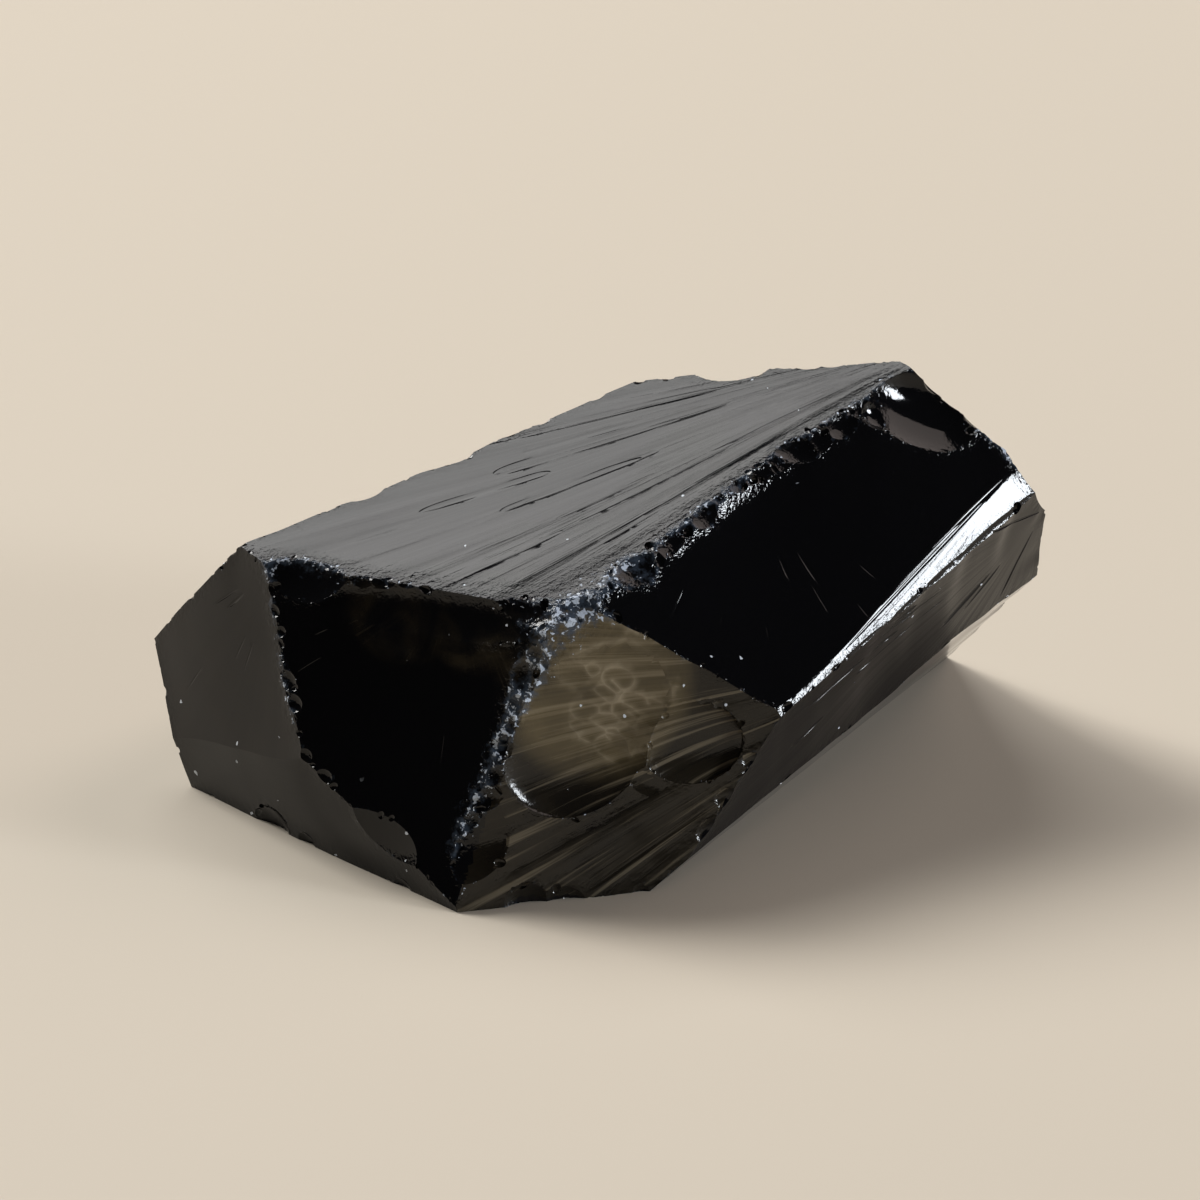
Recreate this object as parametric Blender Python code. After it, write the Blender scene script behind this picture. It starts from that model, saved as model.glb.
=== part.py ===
"""One chunk of raw obsidian: volcanic glass that broke along curved, shell-like fractures.

The chunk is a single solid. A block is cut along each fracture, the flat cuts are then settled
onto hollow, rippled surfaces, and small flakes are struck off along the edges. It lies on one
flat break. Lengths below are in millimetres, in the place where the chunk lies; angles are in
degrees. Azimuth 0 faces the front (-Y) and 90 the right (+X); elevation 90 faces up.
"""
import math
import random

import bmesh
import bpy
import numpy as np
from mathutils import Matrix, Vector

MM = 0.001
BLOCK = 90          # side of the block that the chunk is cut from
COARSE_GRAIN = 3.2  # longest mesh edge while the big shapes settle
FINE_GRAIN = 1.75   # longest mesh edge on the finished fractures
BALL_GRAIN = 3      # subdivisions of the balls that strike small flakes
EDGE_SEED = 14      # keeps the worn edges the same at each run
FADE = 10           # how far ripples spread before they fade out

# Each fracture: where it faces, a point it passes through, how deep its hollow is (a bulge is
# negative), the hollow's middle and reach, the point that was struck, and the ripples that
# spread from there (their spacing and height).
FRACTURES = {
    "top": dict(facing=(-37, 74), through=(2.2, -11.9, 15.1), hollow=0.3, middle=(-3, -7, 16.2),
                reach=8, struck=(17, 0, 21), ripples=(9, 0.03)),
    "right_front": dict(facing=(31, 32), through=(2.3, -12.1, 15.7), hollow=0.55, middle=(7.8, -8.8, 14.4),
                        reach=4.6, struck=(7, -7.6, 17.4), ripples=(3.4, 0.045)),
    "lower_front": dict(facing=(13, 10), through=(-1.1, -15.4, 13.5), hollow=0.4, middle=(2.5, -15.6, 5.5),
                        reach=5.5, struck=(16, -12, 10), ripples=(2.6, 0.07)),
    "left_front": dict(facing=(-28, 21), through=(-2, -15, 14.7), hollow=0.5, middle=(-8.5, -13.6, 8),
                       reach=5.2, struck=(-6, -12.8, 14.3), ripples=(3.4, 0.04)),
    "left": dict(facing=(-52, 9), through=(-15.1, -9, 11.7), hollow=-0.25, middle=(-18, -6.5, 8),
                 reach=4, struck=(-14, -9.5, 13.5), ripples=(4.2, 0.04)),
    "left_low": dict(facing=(-46, -9), through=(-14.5, -11.8, 6.2), hollow=-0.25, middle=(-14, -12, 3.5),
                     reach=5, struck=(-10, -15.5, 4), ripples=(4, 0.06)),
    "left_back": dict(facing=(-115, -22), through=(-20.8, -3, 7.5), hollow=0.4, middle=(-18, -1, 3.5),
                      reach=4, struck=(-20.5, -3.5, 7), ripples=(3, 0.07)),
    "streak": dict(facing=(36.6, 21.3), through=(9.18, -13.48, 7.99), hollow=0.08, middle=(14.6, -8.5, 12.4),
                   reach=5, struck=(20, -2, 15), ripples=(6, 0)),
    "right_low": dict(facing=(51, -18), through=(8.5, -14.2, 7.5), hollow=0.4, middle=(14.5, -7.6, 5),
                      reach=3.4, struck=(21, -1, 12), ripples=(3.2, 0.05)),
    "shoulder": dict(facing=(121, 44), through=(14, -1.5, 20), hollow=0.45, middle=(18.5, 1.5, 15),
                     reach=3.5, struck=(15, -1, 19.5), ripples=(3, 0.07)),
    "back_left": dict(facing=(-145, 40), through=(-15.4, -7.1, 13.5), hollow=1, middle=(-8, 2.5, 9.5),
                      reach=6, struck=(-4, -1.5, 16.5), ripples=(4.6, 0.14)),
    "back": dict(facing=(177, 34), through=(2.5, 0.3, 18.4), hollow=0.9, middle=(6, 7, 9),
                 reach=5.5, struck=(9, 0, 19), ripples=(4.2, 0.13)),
    "back_right": dict(facing=(140, 20), through=(21.5, 0.9, 7.6), hollow=0.7, middle=(17, 5, 7),
                       reach=5, struck=(16, 2.5, 18), ripples=(3.6, 0.12)),
    "right_under": dict(facing=(60, -42), through=(20.7, 0.8, 7.6), hollow=0.3, middle=(17, -1.5, 3.5),
                        reach=3.5, struck=(20, 1, 7), ripples=(3, 0.05)),
    "base": dict(facing=(0, -90), through=(0, 0, 0), hollow=0, middle=(0, 0, 0),
                 reach=1, struck=(0, 0, 0), ripples=(1, 0)),
}
NAMES = list(FRACTURES)

# Flakes struck off on their own: the fractures that the flake's middle lies on, where it is,
# where the scar faces, its half width, half height and depth, and its roll about its facing.
SCARS = [
    (("left_front",), (-7.2, -13.2, 12.8), (-28, 16), (4.8, 1.5, 0.22), 7),
    (("left_front",), (-12.4, -10.4, 12.5), (-40, 34), (2.1, 1.5, 0.3), -10),
    (("left_front",), (-3.4, -14.6, 13.3), (-20, 34), (1.9, 1.1, 0.45), -8),
    (("top", "right_front"), (1.4, -12.6, 15.3), (16, 44), (2.0, 1.2, 0.45), -36),
    (("right_front", "lower_front"), (-0.4, -14.6, 14.1), (4, 30), (1.6, 1.2, 0.45), -20),
    (("top", "right_front"), (8.5, -6.3, 17.9), (42, 50), (1.5, 0.9, 0.32), -38),
    (("right_front",), (14.6, -3.4, 17.4), (48, 45), (2.6, 1.6, 0.36), -38),
    (("right_front",), (13.1, -3.8, 17.9), (36, 46), (0.9, 0.7, 0.3), -38),
    (("lower_front",), (0.2, -15.4, 9.6), (14, 2), (3.0, 4.2, 0.28), -32),
    (("lower_front",), (3.3, -14.8, 7.2), (20, 2), (2.4, 1.6, 0.2), -20),
    (("left_front", "lower_front"), (-5.4, -17.2, 4.2), (0, 2), (2.6, 1.9, 0.3), 22),
    (("left_front", "left_low"), (-9.4, -15.8, 2.8), (-34, 6), (3.0, 1.9, 0.3), 34),
    (("top", "back"), (6.2, -0.6, 18.8), (176, 52), (1.6, 1.2, 0.45), 0),
    (("back_left", "back"), (-0.6, 6.6, 9.4), (-166, 38), (2.4, 5.2, 0.7), 12),
    (("back_left",), (-12.4, 8.4, 0.45), (-142, 38), (3.8, 5.4, 0.9), -14),
    (("back",), (9.6, 11.9, 0.55), (174, 32), (4.6, 4.4, 0.9), 8),
    (("shoulder", "back_right"), (20.2, 0.7, 12.2), (112, 31), (2.0, 3.0, 0.6), 4),
    (("left", "left_back"), (-20.4, -3.2, 8.0), (-88, -2), (1.5, 2.2, 0.4), 0),
]

# Worn edges: the two fractures that meet, where the row of chips starts and ends, how many
# chips there are, the fracture that they run down, and their largest half width.
WORN_EDGES = [
    ("top", "right_front", (2.8, -11.4, 15.7), (12.6, -2.9, 19.4), 13, "right_front", 1.15),
    ("top", "left_front", (-12.2, -9.9, 13.4), (-2.2, -14.9, 14.7), 9, "left_front", 1.0),
    ("left_front", "lower_front", (-2.4, -15.6, 12.2), (-6.3, -17.4, 2.6), 9, "left_front", 1.1),
    ("left_front", "left", (-14.9, -9.3, 11.4), (-13.9, -12.0, 6.2), 4, "left_front", 0.7),
    ("left_front", "left_low", (-13.6, -12.5, 5.8), (-11.4, -14.4, 4.2), 2, "left_front", 0.9),
    ("top", "back_left", (-14.0, -6.6, 13.8), (1.0, -0.4, 18.0), 5, "back_left", 0.8),
    ("top", "back", (8.4, -0.6, 19.1), (12.6, -1.1, 19.8), 2, "back", 0.7),
    ("right_front", "shoulder", (15.6, -1.8, 18.6), (18.6, -1.9, 16.0), 3, "shoulder", 0.9),
    ("back_left", "back", (2.2, 1.6, 17.2), (-2.6, 10.6, 3.6), 6, "back", 1.9),
    ("left_low", "base", (-17.0, -8.0, 0), (-8.4, -17.0, 0), 3, "left_low", 1.3),
    ("lower_front", "base", (-5.5, -17.3, 0), (4, -16, 0), 3, "lower_front", 1.1),
    ("lower_front", "right_low", (7.6, -14.6, 6.2), (5.6, -15.4, 1.6), 3, "lower_front", 0.8),
    ("back", "base", (0, 12.6, 0), (11, 12.6, 0), 4, "back", 2.0),
]


def millimetres(values):
    return Vector(values) * MM


def facing(azimuth, elevation):
    """The unit vector that looks towards an azimuth and an elevation."""
    turn = math.radians(azimuth)
    lift = math.radians(elevation)
    return Vector((math.cos(lift) * math.sin(turn), -math.cos(lift) * math.cos(turn), math.sin(lift)))


class Fracture:
    """A plane with a hollow in it and ripples that spread from the point that was struck."""

    def __init__(self, facing_angles, through, hollow, middle, reach, struck, ripples):
        self.normal = facing(*facing_angles)
        self.point = millimetres(through)
        self.hollow = hollow * MM
        self.middle = self.on_plane(millimetres(middle))
        self.reach = reach * MM
        self.struck = self.on_plane(millimetres(struck))
        self.spacing = ripples[0] * MM
        self.height = ripples[1] * MM
        self.across = self.normal.cross(self.middle - self.struck + Vector((1e-9, 1e-9, 1e-9)))
        self.across.normalize()
        self.along = self.across.cross(self.normal)

    def on_plane(self, point):
        return point - self.normal * self.normal.dot(point - self.point)

    def relief(self, point):
        """How far the broken surface stands above the plane, over a point of the plane."""
        flat = self.on_plane(point)
        from_middle = (flat - self.middle).length / self.reach
        away = flat - self.struck
        travel = away.length
        bearing = math.atan2(away.dot(self.across), away.dot(self.along))
        sway = 1 + 0.1 * math.sin(2 * bearing + self.reach / MM)
        turns = 2 * math.pi * travel * sway / self.spacing
        strength = (0.6 + 0.4 * math.sin(3 * bearing + self.spacing / MM)) * math.exp(-travel / (FADE * MM))
        wave = self.height * strength * math.sin(turns + 0.6 * math.sin(turns))
        return wave - self.hollow * math.exp(-from_middle * from_middle)

    def gap(self, point):
        """How far a point lies below the broken surface."""
        return self.relief(point) - self.normal.dot(point - self.point)


def read_fractures():
    made = {}
    for name, values in FRACTURES.items():
        values = dict(values)
        made[name] = Fracture(values.pop("facing"), **values)
    return made


SURFACES = read_fractures()


def settle_point(point, names):
    """Moves a point onto all of the named fractures, by the shortest way."""
    for _ in range(6):
        normals = np.array([SURFACES[name].normal for name in names])
        gaps = np.array([SURFACES[name].gap(point) for name in names])
        point = point + Vector(np.linalg.lstsq(normals, gaps, rcond=1e-6)[0])
    return point


def cut_block():
    """Cuts the block along each fracture, and marks each cut with its number in NAMES."""
    bm = bmesh.new()
    bmesh.ops.create_cube(bm, size=BLOCK * MM)
    mark = bm.faces.layers.int.new("fracture")
    for number, name in enumerate(NAMES):
        surface = SURFACES[name]
        everything = bm.verts[:] + bm.edges[:] + bm.faces[:]
        cut = bmesh.ops.bisect_plane(bm, geom=everything, dist=1e-7, plane_co=surface.point,
                                     plane_no=surface.normal, clear_outer=True)
        rim = [item for item in cut["geom_cut"] if isinstance(item, bmesh.types.BMEdge)]
        for face in bmesh.ops.holes_fill(bm, edges=rim)["faces"]:
            face[mark] = number
    return bm


def fractures_at(vert, mark):
    return sorted({face[mark] for face in vert.link_faces})


def refine(bm, mark, longest):
    """Halves the long edges until none is left, and evens out the triangles of each fracture."""
    for _ in range(12):
        long_edges = [edge for edge in bm.edges if edge.calc_length() > longest * MM]
        if not long_edges:
            break
        bmesh.ops.subdivide_edges(bm, edges=long_edges, cuts=1)
        bmesh.ops.triangulate(bm, faces=bm.faces[:])
        within = [edge for edge in bm.edges if len({face[mark] for face in edge.link_faces}) == 1]
        bmesh.ops.beautify_fill(bm, faces=bm.faces[:], edges=within)
        for _ in range(2):
            inner = [vert for vert in bm.verts if len(fractures_at(vert, mark)) == 1]
            bmesh.ops.smooth_vert(bm, verts=inner, factor=0.5, use_axis_x=True, use_axis_y=True,
                                  use_axis_z=True)


def settle(bm, mark):
    """Settles every vertex onto the fracture, edge or corner that it belongs to."""
    for vert in bm.verts:
        names = [NAMES[number] for number in fractures_at(vert, mark)]
        vert.co = settle_point(vert.co, names)


def broken_block():
    bm = cut_block()
    mark = bm.faces.layers.int["fracture"]
    bmesh.ops.triangulate(bm, faces=bm.faces[:])
    for grain in (COARSE_GRAIN, FINE_GRAIN):
        refine(bm, mark, grain)
        settle(bm, mark)
    bmesh.ops.recalc_face_normals(bm, faces=bm.faces[:])
    if bm.calc_volume(signed=True) < 0:
        bmesh.ops.reverse_faces(bm, faces=bm.faces[:])
    return bm


class Ball:
    """The squashed ball that strikes one flake: it leaves a dish of the given half sizes."""

    def __init__(self, where, facing_angles, wide, tall, deep, roll):
        outwards = facing(*facing_angles)
        mean_square = wide * tall
        radius = (mean_square + deep * deep) / (2 * deep)
        share = math.sqrt(1 - ((radius - deep) / radius) ** 2)
        self.centre = where + outwards * (radius - deep) * MM
        self.reach = max(wide / share, tall / share, radius) * MM
        turn = outwards.to_track_quat("Z", "Y").to_matrix().to_4x4()
        turn = turn @ Matrix.Rotation(math.radians(roll), 4, "Z")
        size = Matrix.Diagonal((wide / share * MM, tall / share * MM, radius * MM, 1))
        self.matrix = Matrix.Translation(self.centre) @ turn @ size

    def clear_of(self, other):
        return (self.centre - other.centre).length > 1.02 * (self.reach + other.reach)


def flake_balls():
    """The balls for the single scars and for the rows of chips along the worn edges."""
    balls = []
    for names, where, angles, sizes, roll in SCARS:
        balls.append(Ball(settle_point(millimetres(where), names), angles, *sizes, roll))
    chance = random.Random(EDGE_SEED)
    for first, second, start, end, count, side, largest in WORN_EDGES:
        for number in range(count):
            share = (number + chance.uniform(0.1, 0.9)) / count
            point = millimetres(start).lerp(millimetres(end), share)
            point = settle_point(point, (first, second))
            azimuth, elevation = FRACTURES[side]["facing"]
            angles = (azimuth + chance.uniform(-14, 14), elevation + chance.uniform(-4, 8))
            wide = largest * chance.uniform(0.4, 1)
            tall = wide * chance.uniform(0.65, 1)
            deep = wide * chance.uniform(0.18, 0.27)
            balls.append(Ball(point, angles, wide, tall, deep, chance.uniform(-40, 40)))
    return balls


def sort_into_rounds(balls):
    """Groups the balls so that no two of a group touch."""
    rounds = []
    for ball in balls:
        for group in rounds:
            if all(ball.clear_of(other) for other in group):
                group.append(ball)
                break
        else:
            rounds.append([ball])
    return rounds


def ball_object(name, balls, collection):
    bm = bmesh.new()
    for ball in balls:
        bmesh.ops.create_icosphere(bm, subdivisions=BALL_GRAIN, radius=1, matrix=ball.matrix)
    mesh = bpy.data.meshes.new(name)
    bm.to_mesh(mesh)
    bm.free()
    cutter = bpy.data.objects.new(name, mesh)
    cutter.hide_render = True
    cutter.display_type = "WIRE"
    collection.objects.link(cutter)
    return cutter


def black_glass():
    material = bpy.data.materials.new("black_volcanic_glass")
    material.use_nodes = True
    shader = material.node_tree.nodes["Principled BSDF"]
    shader.inputs["Base Color"].default_value = (0.012, 0.012, 0.014, 1)
    shader.inputs["Roughness"].default_value = 0.08
    shader.inputs["Metallic"].default_value = 0
    shader.inputs["IOR"].default_value = 1.5
    return material


def strike_flakes(chunk, cutters):
    """Cuts every flake off the chunk, one round of balls after the other."""
    for number, group in enumerate(sort_into_rounds(flake_balls())):
        cutter = ball_object(f"flakes_{number:02d}", group, cutters)
        boolean = chunk.modifiers.new(cutter.name, "BOOLEAN")
        boolean.operation = "DIFFERENCE"
        boolean.solver = "EXACT"
        boolean.object = cutter
    bpy.context.view_layer.update()
    seen = chunk.evaluated_get(bpy.context.evaluated_depsgraph_get())
    struck = bpy.data.meshes.new_from_object(seen)
    chunk.modifiers.clear()
    chunk.data = struck


def stand_on_origin(chunk):
    """Merges slivers, and puts the middle of the chunk's outline over the origin, base at 0."""
    bm = bmesh.new()
    bm.from_mesh(chunk.data)
    bmesh.ops.remove_doubles(bm, verts=bm.verts[:], dist=0.00002)
    bmesh.ops.dissolve_degenerate(bm, edges=bm.edges[:], dist=0.000002)
    bmesh.ops.triangulate(bm, faces=bm.faces[:])
    low = Vector([min(vert.co[axis] for vert in bm.verts) for axis in range(3)])
    high = Vector([max(vert.co[axis] for vert in bm.verts) for axis in range(3)])
    middle = (low + high) / 2
    bmesh.ops.translate(bm, verts=bm.verts[:], vec=(-middle.x, -middle.y, -low.z))
    bm.to_mesh(chunk.data)
    bm.free()
    chunk.data.name = "obsidian_chunk"
    chunk.data.shade_smooth()
    chunk.data.set_sharp_from_angle(angle=math.radians(18))


for old in list(bpy.data.objects):
    bpy.data.objects.remove(old, do_unlink=True)
parts = bpy.data.collections.new("obsidian_chunk")
cutters = bpy.data.collections.new("cutters")
bpy.context.scene.collection.children.link(parts)
bpy.context.scene.collection.children.link(cutters)

block = broken_block()
mesh = bpy.data.meshes.new("obsidian_chunk")
block.to_mesh(mesh)
block.free()
chunk = bpy.data.objects.new("obsidian_chunk", mesh)
parts.objects.link(chunk)
strike_flakes(chunk, cutters)
stand_on_origin(chunk)
chunk.data.materials.clear()
chunk.data.materials.append(black_glass())
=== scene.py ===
import math
import random

import bmesh
import bpy
import numpy as np
from mathutils import Matrix, Vector, kdtree
from mathutils.bvhtree import BVHTree


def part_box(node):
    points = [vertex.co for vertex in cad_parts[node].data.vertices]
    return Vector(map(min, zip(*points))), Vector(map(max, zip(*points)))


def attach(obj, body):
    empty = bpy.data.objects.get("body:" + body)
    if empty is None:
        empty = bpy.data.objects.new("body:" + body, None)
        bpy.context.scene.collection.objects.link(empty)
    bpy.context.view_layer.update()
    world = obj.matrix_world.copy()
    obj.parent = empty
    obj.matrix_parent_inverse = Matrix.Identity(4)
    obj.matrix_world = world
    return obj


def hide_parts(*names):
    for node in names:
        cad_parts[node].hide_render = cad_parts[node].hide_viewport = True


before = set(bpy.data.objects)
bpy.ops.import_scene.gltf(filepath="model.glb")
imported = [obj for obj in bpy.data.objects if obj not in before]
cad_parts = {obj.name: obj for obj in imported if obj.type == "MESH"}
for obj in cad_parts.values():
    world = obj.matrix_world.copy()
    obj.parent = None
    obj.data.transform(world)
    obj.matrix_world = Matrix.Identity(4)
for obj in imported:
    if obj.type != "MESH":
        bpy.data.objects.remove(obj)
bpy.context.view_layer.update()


# The big fractures. The chunk is raw obsidian, a volcanic glass that cooled too fast to grow
# crystals. It broke off along a dozen shell-like fractures: each is a shallow hollow with
# ripples that spread from the point that was struck, and fine hackles that fan out from there.
MM = 0.001
BLOCK = 90
GRAINS = (3.2, 0.42)   # longest mesh edge as the shapes settle, and when they are finished, in mm
HALVINGS = 5           # how often the long edges are halved for each grain
SETTLING_STEPS = 6
FADE = 10              # how far ripples spread before they fade out, in mm
SWAY = 0.1             # how far the rings of a ripple stray from round
PATCHY = (0.6, 0.4)    # how strong ripples are all round, and how much that changes with bearing

FRACTURES = {
    "top": dict(facing=(-37, 74), through=(2.2, -11.9, 15.1), hollow=0.3, middle=(-3, -7, 16.2),
                reach=8, struck=(17, 0, 21), ripples=(9, 0.03)),
    "right_front": dict(facing=(31, 32), through=(2.3, -12.1, 15.7), hollow=0.55, middle=(7.8, -8.8, 14.4),
                        reach=4.6, struck=(7, -7.6, 17.4), ripples=(3.4, 0.045)),
    "lower_front": dict(facing=(13, 10), through=(-1.1, -15.4, 13.5), hollow=0.4, middle=(2.5, -15.6, 5.5),
                        reach=5.5, struck=(16, -12, 10), ripples=(2.6, 0.07)),
    "left_front": dict(facing=(-28, 21), through=(-2, -15, 14.7), hollow=0.5, middle=(-8.5, -13.6, 8),
                       reach=5.2, struck=(-6, -12.8, 14.3), ripples=(3.4, 0.04)),
    "left": dict(facing=(-52, 9), through=(-15.1, -9, 11.7), hollow=-0.25, middle=(-18, -6.5, 8),
                 reach=4, struck=(-14, -9.5, 13.5), ripples=(4.2, 0.04)),
    "left_low": dict(facing=(-46, -9), through=(-14.5, -11.8, 6.2), hollow=-0.25, middle=(-14, -12, 3.5),
                     reach=5, struck=(-10, -15.5, 4), ripples=(4, 0.06)),
    "left_back": dict(facing=(-115, -22), through=(-20.8, -3, 7.5), hollow=0.4, middle=(-18, -1, 3.5),
                      reach=4, struck=(-20.5, -3.5, 7), ripples=(3, 0.07)),
    "streak": dict(facing=(36.6, 21.3), through=(9.18, -13.48, 7.99), hollow=0.08,
                   middle=(14.6, -8.5, 12.4), reach=5, struck=(20, -2, 15), ripples=(6, 0)),
    "right_low": dict(facing=(51, -18), through=(8.5, -14.2, 7.5), hollow=0.4, middle=(14.5, -7.6, 5),
                      reach=3.4, struck=(21, -1, 12), ripples=(3.2, 0.05)),
    "shoulder": dict(facing=(121, 44), through=(14, -1.5, 20), hollow=0.45, middle=(18.5, 1.5, 15),
                     reach=3.5, struck=(15, -1, 19.5), ripples=(3, 0.07)),
    "back_left": dict(facing=(-145, 40), through=(-15.4, -7.1, 13.5), hollow=1, middle=(-8, 2.5, 9.5),
                      reach=6, struck=(-4, -1.5, 16.5), ripples=(4.6, 0.14)),
    "back": dict(facing=(177, 34), through=(2.5, 0.3, 18.4), hollow=0.9, middle=(6, 7, 9),
                 reach=5.5, struck=(9, 0, 19), ripples=(4.2, 0.13)),
    "back_right": dict(facing=(140, 20), through=(21.5, 0.9, 7.6), hollow=0.7, middle=(17, 5, 7),
                       reach=5, struck=(16, 2.5, 18), ripples=(3.6, 0.12)),
    "right_under": dict(facing=(60, -42), through=(20.7, 0.8, 7.6), hollow=0.3, middle=(17, -1.5, 3.5),
                        reach=3.5, struck=(20, 1, 7), ripples=(3, 0.05)),
    "base": dict(facing=(0, -90), through=(0, 0, 0), hollow=0, middle=(0, 0, 0),
                 reach=1, struck=(0, 0, 0), ripples=(1, 0)),
}
NAMES = list(FRACTURES)


def facing(azimuth, elevation):
    turn = math.radians(azimuth)
    lift = math.radians(elevation)
    return Vector((math.cos(lift) * math.sin(turn), -math.cos(lift) * math.cos(turn), math.sin(lift)))


class Fracture:
    """A plane with a hollow in it, and ripples that spread from the point that was struck."""

    def __init__(self, facing_angles, through, hollow, middle, reach, struck, ripples):
        self.normal = np.array(facing(*facing_angles))
        self.point = np.array(through) * MM
        self.middle = self.on_plane(np.array(middle) * MM)
        self.struck = self.on_plane(np.array(struck) * MM)
        self.hollow = hollow * MM
        self.reach = reach * MM
        self.spacing = ripples[0] * MM
        self.height = ripples[1] * MM
        self.across = np.cross(self.normal, self.middle - self.struck + 1e-9)
        self.across /= np.linalg.norm(self.across)
        self.along = np.cross(self.across, self.normal)

    def on_plane(self, points):
        return points - np.multiply.outer((points - self.point) @ self.normal, self.normal)

    def strike(self, points):
        """Distance from the struck point, and the bearing there, in radians."""
        away = self.on_plane(points) - self.struck
        return np.linalg.norm(away, axis=-1), np.arctan2(away @ self.across, away @ self.along)

    def relief(self, points):
        from_middle = np.linalg.norm(self.on_plane(points) - self.middle, axis=-1) / self.reach
        travel, bearing = self.strike(points)
        sway = 1 + SWAY * np.sin(2 * bearing + self.reach / MM)
        turns = 2 * math.pi * travel * sway / self.spacing
        strength = PATCHY[0] + PATCHY[1] * np.sin(3 * bearing + self.spacing / MM)
        strength = strength * np.exp(-travel / (FADE * MM))
        wave = self.height * strength * np.sin(turns + 0.6 * np.sin(turns))
        return wave - self.hollow * np.exp(-from_middle * from_middle)

    def gap(self, points):
        return self.relief(points) - (points - self.point) @ self.normal


SURFACES = [Fracture(values.pop("facing"), **values) for values in map(dict, FRACTURES.values())]


def settle(points, numbers):
    """Moves points onto all of the numbered fractures, by the shortest way."""
    pull = np.linalg.pinv(np.array([SURFACES[number].normal for number in numbers]), rcond=1e-6)
    for _ in range(SETTLING_STEPS):
        gaps = np.stack([SURFACES[number].gap(points) for number in numbers], axis=-1)
        points = points + gaps @ pull.T
    return points


def cut_block():
    bm = bmesh.new()
    bmesh.ops.create_cube(bm, size=BLOCK * MM)
    mark = bm.faces.layers.int.new("fracture")
    for number, surface in enumerate(SURFACES):
        everything = bm.verts[:] + bm.edges[:] + bm.faces[:]
        cut = bmesh.ops.bisect_plane(bm, geom=everything, dist=1e-7, plane_co=surface.point,
                                     plane_no=surface.normal, clear_outer=True)
        rim = [item for item in cut["geom_cut"] if isinstance(item, bmesh.types.BMEdge)]
        for face in bmesh.ops.holes_fill(bm, edges=rim)["faces"]:
            face[mark] = number
    bmesh.ops.triangulate(bm, faces=bm.faces[:])
    bmesh.ops.recalc_face_normals(bm, faces=bm.faces[:])
    return bm


def refine(bm, longest):
    """Halves the long edges, and evens out the triangles of each fracture."""
    mark = bm.faces.layers.int["fracture"]
    for _ in range(HALVINGS):
        long_edges = [edge for edge in bm.edges if edge.calc_length() > longest * MM]
        if not long_edges:
            break
        bmesh.ops.subdivide_edges(bm, edges=long_edges, cuts=1)
        bmesh.ops.triangulate(bm, faces=bm.faces[:])
        within = [edge for edge in bm.edges if len({face[mark] for face in edge.link_faces}) == 1]
        bmesh.ops.beautify_fill(bm, faces=bm.faces[:], edges=within)
        inner = [vert for vert in bm.verts if len({face[mark] for face in vert.link_faces}) == 1]
        for _ in range(2):
            bmesh.ops.smooth_vert(bm, verts=inner, factor=0.5, use_axis_x=True, use_axis_y=True,
                                  use_axis_z=True)


def settle_all(bm):
    """Settles every vertex onto the fracture, edge or corner that it belongs to."""
    mark = bm.faces.layers.int["fracture"]
    groups = {}
    for vert in bm.verts:
        key = tuple(sorted({face[mark] for face in vert.link_faces}))
        groups.setdefault(key, []).append(vert)
    for numbers, verts in groups.items():
        places = settle(np.array([vert.co for vert in verts]), numbers)
        for vert, place in zip(verts, places):
            vert.co = place


broken = cut_block()
for grain in GRAINS:
    refine(broken, grain)
    settle_all(broken)
mesh = bpy.data.meshes.new("chunk_surface")
broken.to_mesh(mesh)
broken.free()
chunk = bpy.data.objects.new("chunk_surface", mesh)
bpy.context.scene.collection.objects.link(chunk)


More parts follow.
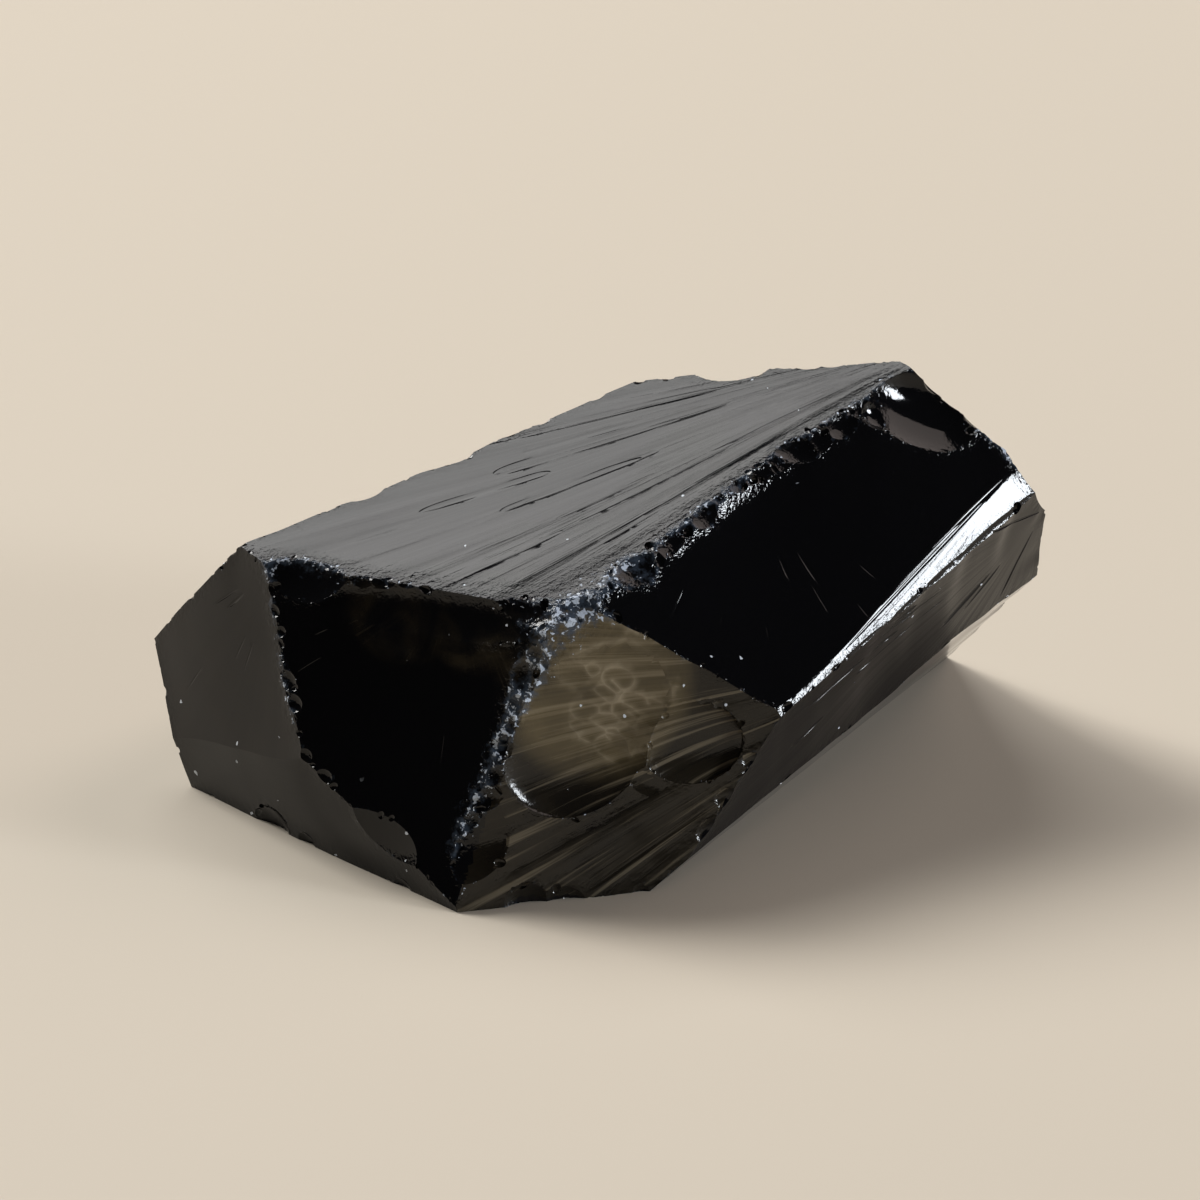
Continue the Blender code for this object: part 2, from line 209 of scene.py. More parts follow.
# The flake scars. A knock on an edge of glass lifts a thin flake and leaves a small dish behind
# it. Some are several millimetres wide, such as the long lens under the top's front edge; most
# are chips that overlap in a row along an edge, with crumbs of crushed glass between them.
SCARS = [
    (("left_front",), (-7.2, -13.2, 12.8), (-28, 16), (4.8, 1.5, 0.22), 7),
    (("left_front",), (-12.4, -10.4, 12.5), (-40, 34), (2.1, 1.5, 0.3), -10),
    (("left_front",), (-3.4, -14.6, 13.3), (-20, 34), (1.9, 1.1, 0.45), -8),
    (("top", "right_front"), (1.4, -12.6, 15.3), (16, 44), (2.0, 1.2, 0.45), -36),
    (("right_front", "lower_front"), (-0.4, -14.6, 14.1), (4, 30), (1.6, 1.2, 0.45), -20),
    (("top", "right_front"), (8.5, -6.3, 17.9), (42, 50), (1.5, 0.9, 0.32), -38),
    (("right_front",), (14.6, -3.4, 17.4), (48, 45), (2.6, 1.6, 0.36), -38),
    (("right_front",), (13.1, -3.8, 17.9), (36, 46), (0.9, 0.7, 0.3), -38),
    (("lower_front",), (0.2, -15.4, 9.6), (14, 2), (3.0, 4.2, 0.28), -32),
    (("lower_front",), (3.3, -14.8, 7.2), (20, 2), (2.4, 1.6, 0.2), -20),
    (("left_front", "lower_front"), (-5.4, -17.2, 4.2), (0, 2), (2.6, 1.9, 0.3), 22),
    (("left_front", "left_low"), (-9.4, -15.8, 2.8), (-34, 6), (3.0, 1.9, 0.3), 34),
    (("top", "back"), (6.2, -0.6, 18.8), (176, 52), (1.6, 1.2, 0.45), 0),
    (("back_left", "back"), (-0.6, 6.6, 9.4), (-166, 38), (2.4, 5.2, 0.7), 12),
    (("back_left",), (-12.4, 8.4, 0.45), (-142, 38), (3.8, 5.4, 0.9), -14),
    (("back",), (9.6, 11.9, 0.55), (174, 32), (4.6, 4.4, 0.9), 8),
    (("shoulder", "back_right"), (20.2, 0.7, 12.2), (112, 31), (2.0, 3.0, 0.6), 4),
    (("left", "left_back"), (-20.4, -3.2, 8.0), (-88, -2), (1.5, 2.2, 0.4), 0),
]
WORN_EDGES = [
    ("top", "right_front", (2.8, -11.4, 15.7), (12.6, -2.9, 19.4), 13, "right_front", 1.15),
    ("top", "left_front", (-12.2, -9.9, 13.4), (-2.2, -14.9, 14.7), 9, "left_front", 1.0),
    ("left_front", "lower_front", (-2.4, -15.6, 12.2), (-6.3, -17.4, 2.6), 9, "left_front", 1.1),
    ("left_front", "left", (-14.9, -9.3, 11.4), (-13.9, -12.0, 6.2), 4, "left_front", 0.7),
    ("left_front", "left_low", (-13.6, -12.5, 5.8), (-11.4, -14.4, 4.2), 2, "left_front", 0.9),
    ("top", "back_left", (-14.0, -6.6, 13.8), (1.0, -0.4, 18.0), 5, "back_left", 0.8),
    ("top", "back", (8.4, -0.6, 19.1), (12.6, -1.1, 19.8), 2, "back", 0.7),
    ("right_front", "shoulder", (15.6, -1.8, 18.6), (18.6, -1.9, 16.0), 3, "shoulder", 0.9),
    ("back_left", "back", (2.2, 1.6, 17.2), (-2.6, 10.6, 3.6), 6, "back", 1.9),
    ("left_low", "base", (-17.0, -8.0, 0), (-8.4, -17.0, 0), 3, "left_low", 1.3),
    ("lower_front", "base", (-5.5, -17.3, 0), (4, -16, 0), 3, "lower_front", 1.1),
    ("lower_front", "right_low", (7.6, -14.6, 6.2), (5.6, -15.4, 1.6), 3, "lower_front", 0.8),
    ("back", "base", (0, 12.6, 0), (11, 12.6, 0), 4, "back", 2.0),
]
EDGE_SEED = 14
CHIP_STRAY = ((-14, 14), (-4, 8))     # how far a chip's facing strays, in degrees
CHIP_ROLL = (-40, 40)
CHIP_SHARES = dict(wide=(0.4, 1), tall=(0.65, 1), deep=(0.18, 0.27))
RIDGE_BEND = 22                       # an edge that bends further is a ridge, in degrees


def settled(place, names):
    numbers = [NAMES.index(name) for name in names]
    return Vector(settle(np.array(place) * MM, numbers))


def turned(outwards, roll):
    """A turn that points Z outwards, rolled about it by some degrees."""
    return outwards.to_track_quat("Z", "Y").to_matrix() @ Matrix.Rotation(math.radians(roll), 3, "Z")


class Ball:
    """The squashed ball that strikes one flake: it leaves a dish of the given half sizes."""

    HEIGHT = 4     # half height of the ball, in depths of the dish
    BEADS = 25     # round beads that stand for the ball where two balls are kept apart

    def __init__(self, where, turn, wide, tall, deep, grain):
        outwards = turn.col[2]
        share = math.sqrt(1 - ((self.HEIGHT - 1) / self.HEIGHT) ** 2)
        half = Vector((wide / share, tall / share, self.HEIGHT * deep)) * MM
        centre = where + outwards * (self.HEIGHT - 1) * deep * MM
        self.centre = centre
        self.bound = max(half)
        self.matrix = Matrix.Translation(centre) @ turn.to_4x4() @ Matrix.Diagonal((*half, 1))
        self.grain = grain
        steps = np.linspace(-1, 1, self.BEADS)
        self.beads = np.array(centre) + np.outer(steps, turn.col[0]) * half.x
        self.girth = max(half.y, half.z) * np.sqrt(1 - steps ** 2) + half.x / self.BEADS

    def clear_of(self, other):
        if (self.centre - other.centre).length > 1.05 * (self.bound + other.bound):
            return True
        apart = np.linalg.norm(self.beads[:, None] - other.beads[None], axis=-1)
        return (apart > self.girth[:, None] + other.girth[None]).all()


def big_flakes():
    balls = []
    for names, where, angles, sizes, roll in SCARS:
        grain = 5 if sizes[0] > 2.5 else 4
        balls.append(Ball(settled(where, names), turned(facing(*angles), roll), *sizes, grain))
    chance = random.Random(EDGE_SEED)
    for first, second, start, end, count, side, largest in WORN_EDGES:
        for number in range(count):
            share = (number + chance.uniform(0.1, 0.9)) / count
            place = Vector(start).lerp(Vector(end), share)
            azimuth, elevation = FRACTURES[side]["facing"]
            outwards = facing(azimuth + chance.uniform(*CHIP_STRAY[0]),
                              elevation + chance.uniform(*CHIP_STRAY[1]))
            wide = largest * chance.uniform(*CHIP_SHARES["wide"])
            tall = wide * chance.uniform(*CHIP_SHARES["tall"])
            deep = wide * chance.uniform(*CHIP_SHARES["deep"])
            turn = turned(outwards, chance.uniform(*CHIP_ROLL))
            balls.append(Ball(settled(place, (first, second)), turn, wide, tall, deep, 4))
    return balls


def sort_into_rounds(balls):
    """Groups the balls so that no two of a group touch."""
    rounds = []
    for ball in balls:
        for group in rounds:
            if all(ball.clear_of(other) for other in group):
                group.append(ball)
                break
        else:
            rounds.append([ball])
    return rounds


def strike(chunk, balls):
    """Cuts the flakes off the chunk, one round of balls after the other."""
    cutters = []
    for group in sort_into_rounds(balls):
        bm = bmesh.new()
        for ball in group:
            bmesh.ops.create_icosphere(bm, subdivisions=ball.grain, radius=1, matrix=ball.matrix)
        mesh = bpy.data.meshes.new("flakes")
        bm.to_mesh(mesh)
        bm.free()
        cutter = bpy.data.objects.new("flakes", mesh)
        bpy.context.scene.collection.objects.link(cutter)
        boolean = chunk.modifiers.new("flakes", "BOOLEAN")
        boolean.operation = "DIFFERENCE"
        boolean.solver = "MANIFOLD"
        boolean.object = cutter
        cutters.append(cutter)
    bpy.context.view_layer.update()
    struck = bpy.data.meshes.new_from_object(chunk.evaluated_get(bpy.context.evaluated_depsgraph_get()))
    chunk.modifiers.clear()
    chunk.data = struck
    for cutter in cutters:
        bpy.data.objects.remove(cutter, do_unlink=True)


def sharp_edges(chunk, least):
    """The ends and the outward direction of each edge that bends by more than some degrees."""
    bm = bmesh.new()
    bm.from_mesh(chunk.data)
    bm.normal_update()
    found = []
    for edge in bm.edges:
        if len(edge.link_faces) == 2 and edge.calc_face_angle_signed(0) > math.radians(least):
            outwards = (edge.link_faces[0].normal + edge.link_faces[1].normal).normalized()
            found.append((edge.verts[0].co.copy(), edge.verts[1].co.copy(), outwards))
    tree = BVHTree.FromBMesh(bm)
    bm.free()
    return found, tree


strike(chunk, big_flakes())
ridges, skin = sharp_edges(chunk, RIDGE_BEND)


# The crumbs. Every ridge of broken glass is brittle, so crumbs finer than a millimetre have
# popped out all along it. They catch the light as a row of small bright points.
CRUMBS_PER_MM = 0.9
CRUMB_SIZES = (0.1, 0.36)
CRUMB_SHARES = dict(tall=(0.3, 0.8), deep=(0.14, 0.3))
CRUMB_LEAN = 0.45
FINE_CRUMB = 0.24          # crumbs up to this wide get fewer faces
BESIDE_RIDGE = 0.3         # where a ridge is felt beside its edge, and how far it falls there, in mm
RIDGE_FALL = 0.03

# Where an edge was crushed outright: its ends, how far the crushing reaches, and how strong it is.
CRUSHED_EDGES = [
    ((1.6, -12.8, 15.0), (-0.6, -14.9, 14.0), 0.8, 0.85),
    ((2.0, -12.8, 14.6), (-2.8, -14.7, 14.1), 0.7, 0.75),
    ((-0.6, -15.0, 13.8), (-1.5, -15.3, 12.4), 1.1, 0.95),
    ((-0.6, -14.9, 14.0), (-3.6, -16.3, 9.0), 0.6, 0.85),
    ((-3.6, -16.3, 9.0), (-6.3, -17.4, 2.6), 0.5, 0.7),
    ((-14.9, -9.0, 12.8), (-12.2, -9.9, 13.3), 0.6, 0.75),
    ((-12.2, -9.9, 13.3), (-1.4, -14.4, 14.4), 0.4, 0.55),
    ((1.6, -12.8, 15.0), (7.0, -8.0, 17.2), 0.6, 0.65),
    ((7.0, -8.0, 17.2), (13.6, -2.2, 19.6), 0.5, 0.5),
    ((-14.9, -9.3, 11.4), (-13.9, -12.0, 6.2), 0.25, 0.45),
    ((19.6, -2.2, 14.8), (18.0, -2.0, 16.4), 0.3, 0.6),
]
CRUSHED_PER_MM = 4
CRUSHING_SPREAD = 1.5


def along_edges(places, edges, wider):
    """The strength of the nearest edge, and less the further away."""
    most = np.zeros(len(places))
    for start, end, reach, strength in edges:
        start, end = np.array(start) * MM, np.array(end) * MM
        share = np.clip((places - start) @ (end - start) / ((end - start) @ (end - start)), 0, 1)
        away = np.linalg.norm(places - start - np.outer(share, end - start), axis=-1)
        most = np.maximum(most, strength * np.exp(-((away / (wider * reach * MM)) ** 2)))
    return most


def crumb(chance, place, outwards, sizes):
    lean = Vector([chance.gauss(0, CRUMB_LEAN) for _ in range(3)])
    wide = sizes[0] + (sizes[1] - sizes[0]) * chance.random() ** 2
    turn = turned((outwards + lean).normalized(), chance.uniform(-90, 90))
    deep = wide * chance.uniform(*CRUMB_SHARES["deep"])
    tall = wide * chance.uniform(*CRUMB_SHARES["tall"])
    return Ball(place, turn, wide, tall, deep, 3 if wide > FINE_CRUMB else 2)


def falls_away(place, forwards, outwards):
    """Whether the surface falls away on both sides of a ridge, so that a crumb can pop off it."""
    sideways = forwards.cross(outwards).normalized() * BESIDE_RIDGE * MM
    for probe in (place + sideways, place - sideways):
        beside = skin.find_nearest(probe)[0]
        if (place - beside).dot(outwards) < RIDGE_FALL * MM:
            return False
    return True


def crumbs():
    chance = random.Random(EDGE_SEED + 1)
    starts = np.array([start for start, _, _ in ridges])
    crushing = along_edges(starts, CRUSHED_EDGES, CRUSHING_SPREAD)
    balls = []
    for (start, end, outwards), crushed in zip(ridges, crushing):
        length = (end - start).length / MM
        if length > 0.02 and outwards.z > -0.9 and falls_away(start, end - start, outwards):
            rate = CRUMBS_PER_MM + CRUSHED_PER_MM * crushed
            for _ in range(int(length * rate + chance.random())):
                balls.append(crumb(chance, start.lerp(end, chance.random()), outwards, CRUMB_SIZES))
    return balls


strike(chunk, crumbs())


# The hackles. Fine grooves run outwards from the point where each fracture was struck, like
# the rays of a fan. They are longest on the top and closest on the lower front.
HACKLES = [
    # fracture, how many, bearings, travel, half lengths, half widths, depth as a share of width
    ("top", 40, (-24, 24), (5, 33), (2.0, 5.5), (0.08, 0.36), 0.018),
    ("lower_front", 40, (-28, 24), (4, 21), (0.9, 2.8), (0.05, 0.2), 0.12),
    ("right_front", 12, (-60, 60), (5, 12), (0.6, 1.6), (0.05, 0.12), 0.1),
    ("left_front", 10, (-70, 70), (4, 10), (0.6, 1.5), (0.05, 0.12), 0.1),
    ("streak", 12, (-9, 9), (2, 17), (1.2, 4.5), (0.05, 0.13), 0.14),
    ("right_low", 22, (-60, 60), (2, 17), (0.7, 2.4), (0.06, 0.2), 0.2),
    ("back_left", 26, (-80, 80), (3, 17), (0.8, 3.0), (0.06, 0.22), 0.1),
    ("back", 26, (-80, 80), (3, 15), (0.8, 3.0), (0.06, 0.22), 0.1),
    ("back_right", 12, (-80, 80), (3, 12), (0.6, 2.0), (0.06, 0.18), 0.1),
    ("left", 8, (-80, 80), (4, 10), (0.6, 1.6), (0.05, 0.1), 0.1),
]
# Strands beside the bright bevel: where they lie along it, their half lengths and half widths.
STRANDS = [(0.93, 1.6, 0.3), (0.8, 2.6, 0.36), (0.62, 2.4, 0.32), (0.5, 1.7, 0.26), (0.3, 1.9, 0.2)]
BEVEL = ((9.2, -13.6, 7.9), (20.2, -2.7, 13.8))
# The bright bevel crowds the painted glints around it.
GLINTY_BEVEL = (*BEVEL, 1.3, 1)
# The scales on the lower front: bubble-like loops, where the blow crushed the glass in layers.
SCALES = dict(middle=(0.9, -15.4, 8.4), spread=(1.3, 1.1), count=30, sizes=(0.25, 0.9),
              turns=(-60, -10), tall_share=(0.5, 0.9), depth_share=0.08)
STRAND_FACING = (41, 9)
STRAND_DEPTH = 0.3     # as a share of its half width
ON_FRACTURE = 0.06     # how near the fracture a groove has to lie, in mm
LONG_GROOVE = 1.2      # half length from which a groove gets more faces, in mm


def groove(surface, tree, bearing, travel, half_length, half_width, depth_share):
    """A long thin ball on a ray of a fracture, or none where the ray has left the fracture."""
    ray = math.cos(bearing) * surface.along + math.sin(bearing) * surface.across
    ends = []
    for reach in (travel - half_length, travel, travel + half_length):
        place = tree.find_nearest(Vector(surface.struck + ray * reach * MM))[0]
        if abs(surface.gap(np.array(place))) > ON_FRACTURE * MM:
            return None
        ends.append(place)
    forwards = (ends[2] - ends[0]).normalized()
    outwards = Vector(surface.normal)
    outwards = (outwards - forwards * outwards.dot(forwards)).normalized()
    turn = Matrix((forwards, outwards.cross(forwards), outwards)).transposed()
    grain = 4 if half_length > LONG_GROOVE else 3
    return Ball(ends[1], turn, half_length, half_width, half_width * depth_share * 2, grain)


def hackles_and_scales(tree):
    chance = random.Random(EDGE_SEED + 2)
    balls = []
    for name, count, bearings, travels, lengths, widths, depth_share in HACKLES:
        for _ in range(count):
            bearing = math.radians(chance.uniform(*bearings))
            travel = chance.uniform(*travels)
            half_length = chance.uniform(*lengths)
            half_width = widths[0] + (widths[1] - widths[0]) * chance.random() ** 2
            ball = groove(SURFACES[NAMES.index(name)], tree, bearing, travel, half_length,
                          half_width, depth_share)
            if ball:
                balls.append(ball)
    seam = (Vector(BEVEL[1]) - Vector(BEVEL[0])).normalized()
    outwards = facing(*STRAND_FACING)
    outwards = (outwards - seam * outwards.dot(seam)).normalized()
    for share, half_length, half_width in STRANDS:
        place = settled(Vector(BEVEL[0]).lerp(Vector(BEVEL[1]), share), ("streak", "right_low"))
        turn = Matrix((seam, outwards.cross(seam), outwards)).transposed()
        balls.append(Ball(place, turn, half_length, half_width, half_width * STRAND_DEPTH, 4))
    for _ in range(SCALES["count"]):
        middle = Vector(SCALES["middle"]) * MM
        middle.x += chance.gauss(0, 1) * SCALES["spread"][0] * MM
        middle.z += chance.gauss(0, 1) * SCALES["spread"][1] * MM
        place, normal, _, _ = tree.find_nearest(middle)
        wide = chance.uniform(*SCALES["sizes"])
        turn = turned(normal, chance.uniform(*SCALES["turns"]))
        tall = wide * chance.uniform(*SCALES["tall_share"])
        balls.append(Ball(place, turn, wide, tall, wide * SCALES["depth_share"], 4))
    return balls


strike(chunk, hackles_and_scales(sharp_edges(chunk, RIDGE_BEND)[1]))


# The finish: polished only by the break itself. The glass is black. The low faces at the front, left
# and left back, and patches on the front, are painted smoky brown as a reflection of the warm surface
# below.
# Crushed glass along the ridges is pale with painted bluish-white glints, white specks are painted glints,
# and the top has a satin sheen from its close hackles.
# How strongly each low face is painted smoky brown, as a painted reflection of the warm surface below it.
BROWN_REFLECTION_FACES = {"left": 0.09, "left_low": 0.09, "left_back": 0.08, "lower_front": 0.12}
# Patches on the front painted with the same brown reflection: centre, reach in mm, strength.
BROWN_REFLECTION_PATCHES = [
    ((0.2, -15.4, 9.6), 4.2, 1.0),
    ((-8.8, -12.5, 12.7), 2.8, 0.65),
    ((-5.2, -13.8, 12.9), 2.8, 0.65),
]
PATCH_END = 1.15        # where a patch ends, and how wide its soft edge is, as shares of its reach
PATCH_FADE = 0.3
HACKLED = {"top": 1, "lower_front": 1, "back": 0.4, "back_left": 0.4, "back_right": 0.3, "streak": 0.6,
           "right_low": 0.5}
ELSEWHERE_HACKLED = 0.1
HACKLES_START = (1.5, 7)    # where the hackles begin and are full, in mm from the struck point
BEARING_GRAIN = 34      # streaks across one radian of bearing
TRAVEL_GRAIN = 0.05     # streaks along one millimetre of a ray
NEXT_FRACTURE = 7       # how far the streaks of two fractures lie apart in the pattern
NEXT_SCAR = 3
SCAR_DEPTH = 0.03       # glass deeper than this below every fracture is a scar, in mm
FACET_BEND = 14         # a bend beyond this stays a crisp edge, in degrees
RIM_BEND = 7            # a bend beyond this gets a painted pale highlight where the brown reflection is painted, in degrees
WEAR_REACH = 0.4        # how far the wear of a ridge and a pale rim reach, in mm
RIM_REACH = 0.1
GLINT_SPREAD = 2.5       # how much further than the crushing the painted glints crowd

mesh = chunk.data


def read_mesh(items, name, width, kind=float):
    values = np.empty(len(items) * width, dtype=kind)
    items.foreach_get(name, values)
    return values.reshape(-1, width) if width > 1 else values


def nearness(places, points, reach):
    """1 at the nearest of the points, and less the further away."""
    tree = kdtree.KDTree(len(points))
    for number, point in enumerate(points):
        tree.insert(point, number)
    tree.balance()
    away = np.array([tree.find(place)[2] for place in places])
    return np.exp(-away / (reach * MM))


def edge_points(edges):
    return [start for start, _, _ in edges] + [start.lerp(end, 0.5) for start, end, _ in edges]


places = read_mesh(mesh.vertices, "co", 3)
at_corner = places[read_mesh(mesh.loops, "vertex_index", 1, int)]
middles = read_mesh(mesh.polygons, "center", 3)
sides = read_mesh(mesh.polygons, "loop_total", 1, int)
gaps = np.stack([np.abs(surface.gap(middles)) for surface in SURFACES], axis=-1)
owner = np.repeat(gaps.argmin(axis=-1), sides)
scarred = np.repeat(gaps.min(axis=-1) > SCAR_DEPTH * MM, sides)
rays = np.empty((len(at_corner), 3))
# How strongly the brown reflection is painted at each corner.
brown_reflection_amounts = np.zeros(len(at_corner))
hackling = np.zeros(len(at_corner))
for number, surface in enumerate(SURFACES):
    mine = owner == number
    travel, bearing = surface.strike(at_corner[mine])
    rays[mine, 0] = bearing * BEARING_GRAIN
    rays[mine, 1] = travel / MM * TRAVEL_GRAIN
    rays[mine, 2] = number * NEXT_FRACTURE
    brown_reflection_amounts[mine] = BROWN_REFLECTION_FACES.get(NAMES[number], 0)
    share = np.clip((travel / MM - HACKLES_START[0]) / (HACKLES_START[1] - HACKLES_START[0]), 0, 1)
    hackling[mine] = HACKLED.get(NAMES[number], ELSEWHERE_HACKLED) * share * share * (3 - 2 * share)
rays[scarred, 2] += NEXT_SCAR
# The front patches of painted brown reflection.
in_front = np.isin(owner, (NAMES.index("left_front"), NAMES.index("lower_front")))
for middle, reach, amount in BROWN_REFLECTION_PATCHES:
    away = np.linalg.norm(at_corner - np.array(middle) * MM, axis=-1) / (reach * MM)
    near = amount * np.clip((PATCH_END - away) / PATCH_FADE, 0, 1)
    brown_reflection_amounts = np.where(in_front, np.maximum(brown_reflection_amounts, near), brown_reflection_amounts)
rims, _ = sharp_edges(chunk, RIM_BEND)
# Among these: where the brown reflection is painted, and how crowded the painted glints are.
for name, kind, domain, values in (
        ("ray", "FLOAT_VECTOR", "CORNER", rays.ravel()),
        ("brown_reflection_mask", "FLOAT", "CORNER", brown_reflection_amounts),
        ("hackled", "FLOAT", "CORNER", hackling),
        ("edge_wear", "FLOAT", "POINT", nearness(places, edge_points(ridges), WEAR_REACH)),
        ("crushing", "FLOAT", "POINT", along_edges(places, CRUSHED_EDGES, CRUSHING_SPREAD)),
        ("glint_crowding", "FLOAT", "POINT", along_edges(places, CRUSHED_EDGES + [GLINTY_BEVEL], GLINT_SPREAD)),
        ("rims", "FLOAT", "POINT", nearness(places, edge_points(rims), RIM_REACH))):
    layer = mesh.attributes.new(name, kind, domain)
    layer.data.foreach_set("vector" if kind == "FLOAT_VECTOR" else "value", values)

low, high = places.min(axis=0), places.max(axis=0)
cad_low, cad_high = np.array(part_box("obsidian_chunk"))
shift = (cad_low + cad_high - low - high) / 2
shift[2] = -low[2]
mesh.transform(Matrix.Translation(shift))
mesh.shade_smooth()
mesh.set_sharp_from_angle(angle=math.radians(FACET_BEND))

glass = bpy.data.materials.new("black_volcanic_glass")
glass.use_nodes = True
nodes = glass.node_tree.nodes
links = glass.node_tree.links
shader = nodes["Principled BSDF"]
shader.inputs["IOR"].default_value = 1.5
shader.inputs["Specular IOR Level"].default_value = 0.32


def node(kind, inputs=(), **settings):
    """Adds a node; each input is a value or the socket that feeds it."""
    made = nodes.new("ShaderNode" + kind)
    for name, value in settings.items():
        setattr(made, name, value)
    for name, value in dict(inputs).items():
        socket = made.inputs[name]
        if isinstance(value, bpy.types.NodeSocket):
            links.new(value, socket)
        else:
            socket.default_value = value
    return made


def maths(operation, *values, clamp=False):
    return node("Math", dict(enumerate(values)), operation=operation, use_clamp=clamp).outputs[0]


def fade(value, low, high):
    """0 below low, 1 above high."""
    inputs = {"Value": value, "From Min": low, "From Max": high}
    return node("MapRange", inputs, interpolation_type="SMOOTHSTEP").outputs["Result"]


def tinted(amount, under, over):
    """One colour over another. Either may be a socket."""
    made = nodes.new("ShaderNodeMix")
    made.data_type = "RGBA"
    for socket, value in zip([made.inputs[0], made.inputs[6], made.inputs[7]], (amount, under, over)):
        if isinstance(value, bpy.types.NodeSocket):
            links.new(value, socket)
        else:
            socket.default_value = value
    return made.outputs[2]


def scaled(value, factor):
    return maths("MULTIPLY", value, factor)


def attribute(name, output):
    return node("Attribute", attribute_name=name).outputs[output]


def noise(vector, scale, detail, **inputs):
    inputs = {"Vector": vector, "Scale": scale, "Detail": detail, **inputs}
    return node("TexNoise", inputs).outputs["Fac"]


# How fine each pattern is, per metre, and how far the painted glint specks and the flecks are shaken, in
# metres.
GRAIN, CLOUD, FLECK, SHAKING, DOTS = 2600.0, 420.0, 3400.0, 3000.0, 1500.0
SHAKE = (0.00035, 0.00035, 0.00035)
place = node("TexCoord").outputs["Object"]
ray = attribute("ray", "Vector")
brown_reflection_mask, hackled = attribute("brown_reflection_mask", "Fac"), attribute("hackled", "Fac")
wear, rims = attribute("edge_wear", "Fac"), attribute("rims", "Fac")
crushing_here, glint_crowding = attribute("crushing", "Fac"), attribute("glint_crowding", "Fac")
streaks = noise(ray, 1.0, 4.0, Roughness=0.62)
bands = noise(ray, 0.16, 2.0)
grain = noise(place, GRAIN, 3.0, Roughness=0.6)
cloud = noise(place, CLOUD, 3.0, Distortion=0.6)
shake = node("TexNoise", {"Vector": place, "Scale": SHAKING, "Detail": 2.0}).outputs["Color"]
shaken = node("VectorMath", {0: shake, 1: SHAKE, 2: place}, operation="MULTIPLY_ADD")
dots = node("TexVoronoi", {"Vector": shaken.outputs[0], "Scale": DOTS})
luck = node("SeparateColor", {"Color": dots.outputs["Color"]}).outputs
fleck = noise(shaken.outputs[0], FLECK, 2.0, Roughness=0.65)

# Masks: hazy glass, crushed glass with painted glints, painted glint specks, the painted brown reflection,
# and painted highlights along rims and threads.
worn = maths("ADD", scaled(wear, 0.42), scaled(crushing_here, 0.62))
haze = fade(maths("ADD", worn, scaled(maths("SUBTRACT", grain, 0.5), 1.2)), 0.45, 0.95)
# Crushed glass: pale, and painted bright bluish white as glints.
crushed = fade(maths("ADD", worn, scaled(maths("SUBTRACT", fleck, 0.5), 2.4)), 0.86, 1.02)
# Painted glints: small bluish-white dots, crowded near ridges, crushed edges and the bright bevel.
dot_size = maths("ADD", 0.04, scaled(luck["Green"], 0.12))
dot_odds = maths("ADD", luck["Red"], maths("ADD", scaled(wear, 0.12), scaled(glint_crowding, 0.07)))
painted_glint_specks = scaled(maths("LESS_THAN", dots.outputs["Distance"], dot_size), fade(dot_odds, 0.93, 0.95))
# Painted reflection: the brown of the warm surface below, mottled, where it is painted.
mottle = maths("ADD", scaled(cloud, 0.7), scaled(maths("MULTIPLY", streaks, hackled), 0.7))
painted_brown_reflection = maths("MULTIPLY", brown_reflection_mask, fade(mottle, 0.25, 0.85))
# Painted highlights: pale rims and threads inside the painted brown reflection.
rim_light = maths("MULTIPLY", maths("MULTIPLY", rims, fade(brown_reflection_mask, 0.7, 1.0)), fade(cloud, 0.35, 0.7))
painted_thread_highlights = maths("MULTIPLY", maths("MULTIPLY", hackled, fade(brown_reflection_mask, 0.1, 0.12)), fade(streaks, 0.54, 0.66))

# The colours, one over the other.
BLACK = (0.0025, 0.0025, 0.003, 1)
# Painted reflection of the warm surface below.
REFLECTED_FLOOR_BROWN = (0.1, 0.077, 0.04, 1)
# Painted highlight on rims and threads.
PAINTED_PALE_HIGHLIGHT = (0.27, 0.225, 0.155, 1)
HAZE_BLUE = (0.045, 0.06, 0.085, 1)
# Pale crushed glass with painted glints.
CRUSHED_GLASS_AND_GLINT_BLUE = (0.5, 0.57, 0.68, 1)
# Painted glint.
PAINTED_GLINT_WHITE = (0.62, 0.68, 0.76, 1)
colour = tinted(painted_brown_reflection, BLACK, REFLECTED_FLOOR_BROWN)
colour = tinted(scaled(painted_thread_highlights, 0.35), colour, PAINTED_PALE_HIGHLIGHT)
colour = tinted(rim_light, colour, PAINTED_PALE_HIGHLIGHT)
colour = tinted(haze, colour, HAZE_BLUE)
colour = tinted(crushed, colour, CRUSHED_GLASS_AND_GLINT_BLUE)
colour = tinted(painted_glint_specks, colour, PAINTED_GLINT_WHITE)
links.new(colour, shader.inputs["Base Color"])

# Hackles give the satin sheen, and crushed glass scatters the most.
roughness = maths("ADD", 0.05, maths("MULTIPLY", hackled, scaled(fade(streaks, 0.3, 0.75), 0.2)))
roughness = maths("ADD", roughness, scaled(brown_reflection_mask, 0.12))
roughness = maths("ADD", roughness, scaled(crushed, 0.35), clamp=True)
links.new(roughness, shader.inputs["Roughness"])

# Relief too fine to model: the closest streaks, the crushed grain and the scaly clouds.
height = maths("MULTIPLY", hackled, maths("ADD", scaled(streaks, 0.7), scaled(bands, 5.0)))
height = maths("ADD", height, scaled(maths("MULTIPLY", fleck, worn), 3.0))
height = maths("ADD", height, scaled(maths("MULTIPLY", cloud, brown_reflection_mask), 2.0))
bump = node("Bump", {"Height": height, "Strength": 1.0, "Distance": 0.00003})
links.new(bump.outputs["Normal"], shader.inputs["Normal"])

mesh.materials.clear()
mesh.materials.append(glass)
chunk.name = "obsidian_surface"
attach(chunk, "root")
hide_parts("obsidian_chunk")


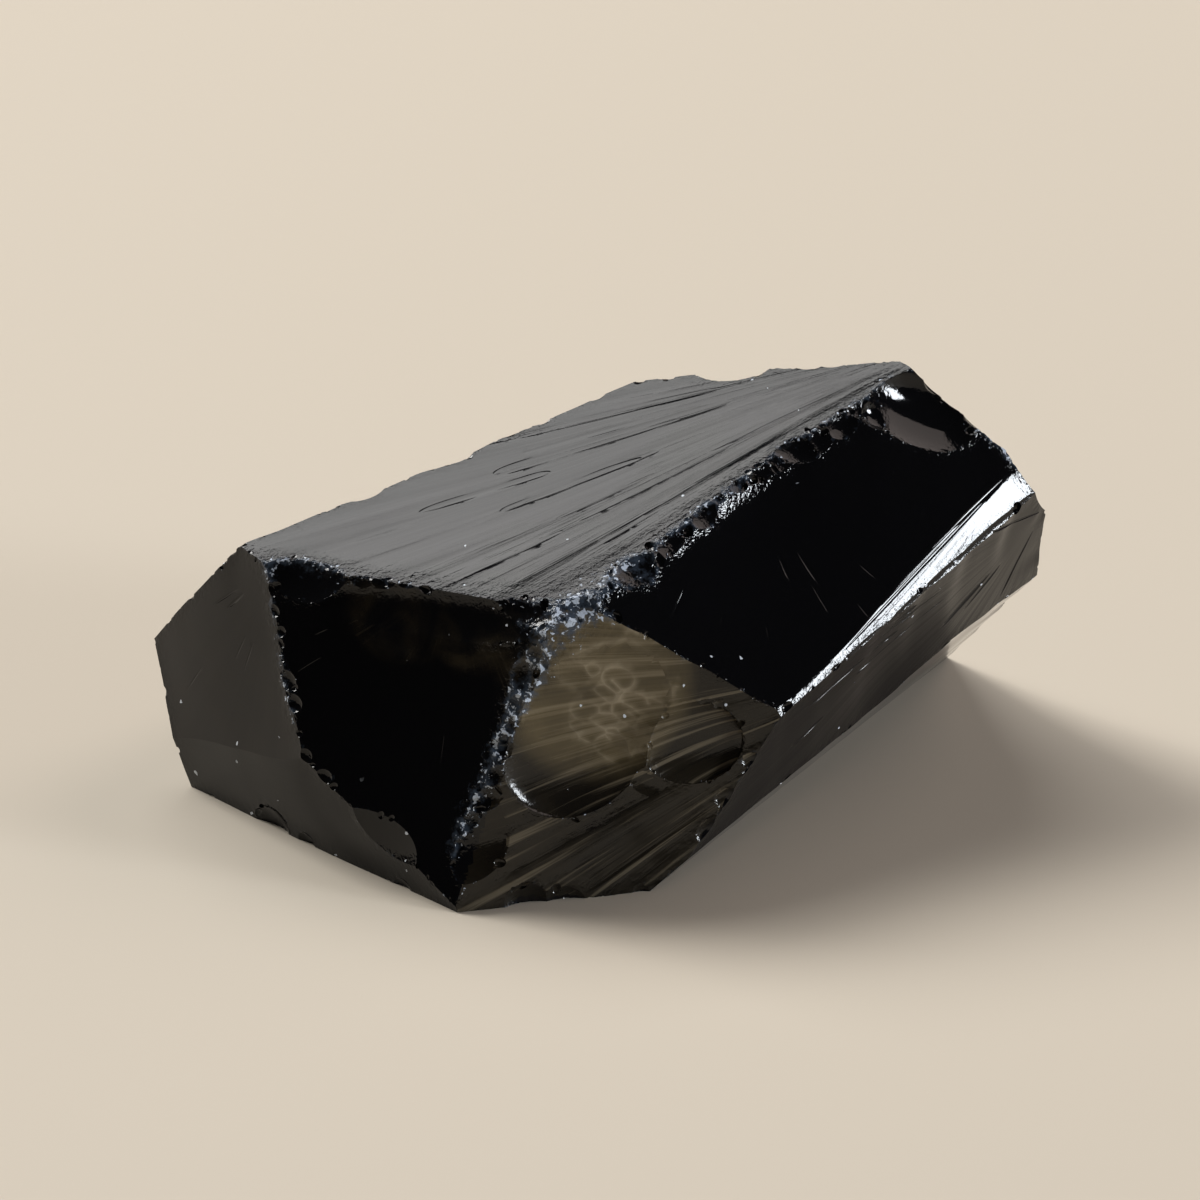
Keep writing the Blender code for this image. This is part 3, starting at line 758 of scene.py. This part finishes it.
# The floor: a plain pale table top, matt, that the chunk lies on.
bm = bmesh.new()
bmesh.ops.create_grid(bm, x_segments=1, y_segments=1, size=3)
mesh = bpy.data.meshes.new("floor")
bm.to_mesh(mesh)
bm.free()
floor = bpy.data.objects.new("floor", mesh)
bpy.context.scene.collection.objects.link(floor)
paint = bpy.data.materials.new("pale_floor")
paint.use_nodes = True
paint.node_tree.nodes["Principled BSDF"].inputs["Base Color"].default_value = (0.59, 0.53, 0.44, 1)
paint.node_tree.nodes["Principled BSDF"].inputs["Roughness"].default_value = 0.7
floor.data.materials.append(paint)


# The light. A dim room keeps the hollows black. A large soft light behind and above the chunk
# gives its top the pale sheen, and a narrow one at the right draws the bright line.
world = bpy.data.worlds.new("dim_room")
bpy.context.scene.world = world
world.use_nodes = True
world.node_tree.nodes["Background"].inputs["Color"].default_value = (0.02, 0.02, 0.022, 1)


def soft_light(name, azimuth, elevation, distance, wide, tall, watts, colour):
    light = bpy.data.lights.new(name, "AREA")
    light.shape = "RECTANGLE"
    light.size = wide
    light.size_y = tall
    light.energy = watts
    light.color = colour
    lamp = bpy.data.objects.new(name, light)
    lamp.location = facing(azimuth, elevation) * distance
    lamp.rotation_euler = facing(azimuth, elevation).to_track_quat("Z", "Y").to_euler()
    bpy.context.scene.collection.objects.link(lamp)
    return lamp


soft_light("back_softbox", -163, 54, 1.2, 0.7, 0.5, 4.8, (1.0, 0.99, 0.97))
soft_light("key_softbox", -125, 42, 1.2, 0.5, 0.5, 14.0, (1.0, 0.98, 0.95))
soft_light("right_strip", 72, 11, 0.7, 0.12, 0.2, 3.2, (0.9, 0.95, 1.0))
soft_light("peak_glow", 116, 42, 1.1, 0.85, 0.7, 3.2, (1, 0.86, 0.8))
bpy.context.scene.view_settings.view_transform = "Standard"


# The camera stands about 45 cm away, 25 degrees above the table, as in the photograph.
CAMERA_DISTANCE = 0.45
CAMERA_ELEVATION = 25
SEEN_WIDTH = 0.056      # how much of the table the picture spans
SENSOR_WIDTH = 36
camera = bpy.data.objects.new("camera", bpy.data.cameras.new("camera"))
bpy.context.scene.collection.objects.link(camera)
aim = Vector((0.0, -0.0006, 0.0085))
camera.location = aim + facing(0, CAMERA_ELEVATION) * CAMERA_DISTANCE
camera.rotation_euler = (math.radians(90 - CAMERA_ELEVATION), 0, 0)
camera.data.sensor_width = SENSOR_WIDTH
camera.data.lens = SENSOR_WIDTH * CAMERA_DISTANCE / SEEN_WIDTH
camera.data.clip_start = 0.01
bpy.context.scene.camera = camera
